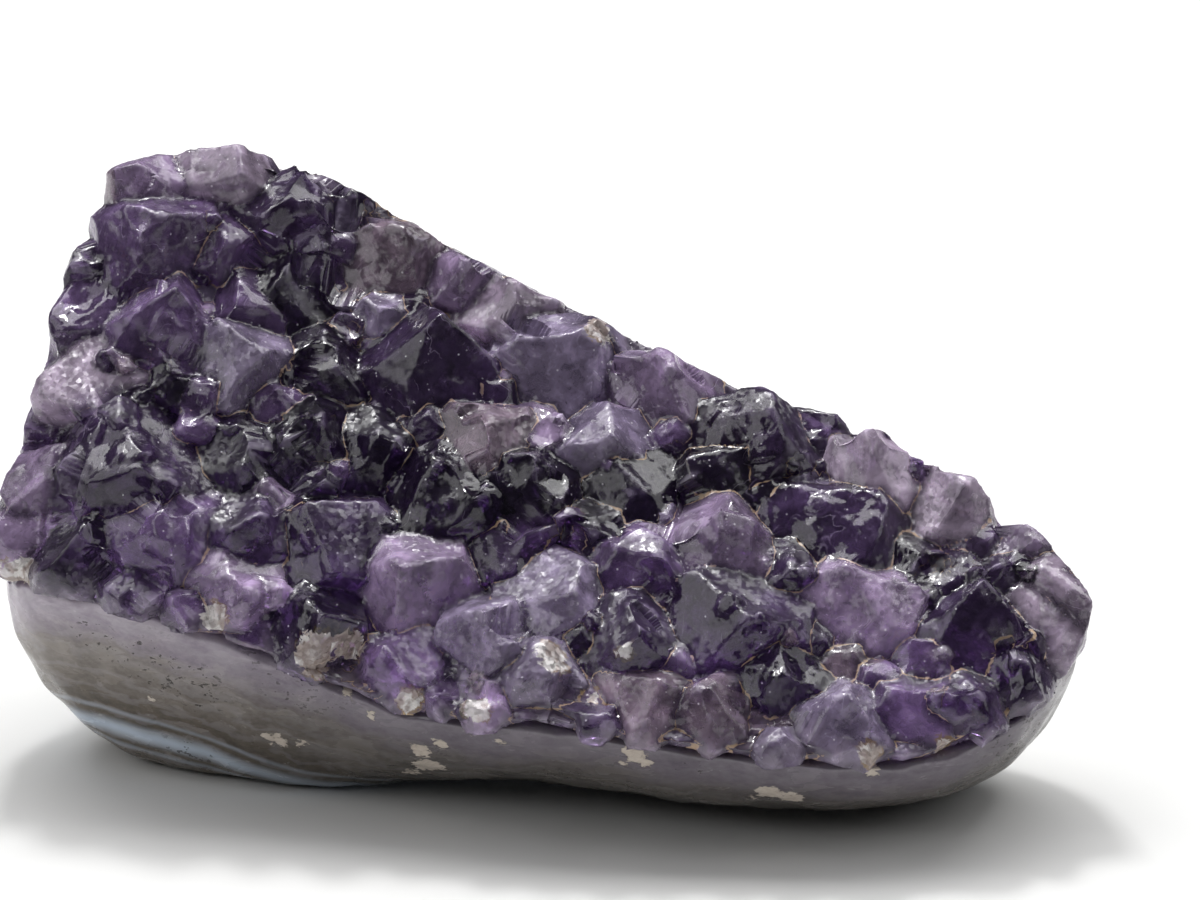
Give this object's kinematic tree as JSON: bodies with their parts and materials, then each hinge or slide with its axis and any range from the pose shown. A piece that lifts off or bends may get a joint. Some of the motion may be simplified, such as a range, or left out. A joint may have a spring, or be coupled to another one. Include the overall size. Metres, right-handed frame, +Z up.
{
  "type": "amethyst cluster",
  "caption": "Amethyst druse: grown-together violet quartz points on the sloping face of a ground agate rind that rests on a flat sole.",
  "frame": {"origin": "under the middle of the bounding box, on the flat sole", "axes": "+X along the piece towards its low right end, +Y towards its high ground back, +Z up"},
  "size_m": [0.1076, 0.0604, 0.0577],
  "materials": {
    "agate": "polished",
    "amethyst": "glossy, frosted in places"
  },
  "bodies": {
    "root": {"agate_base": "agate", "amethyst_crystals": "amethyst"}
  },
  "joints": []
}
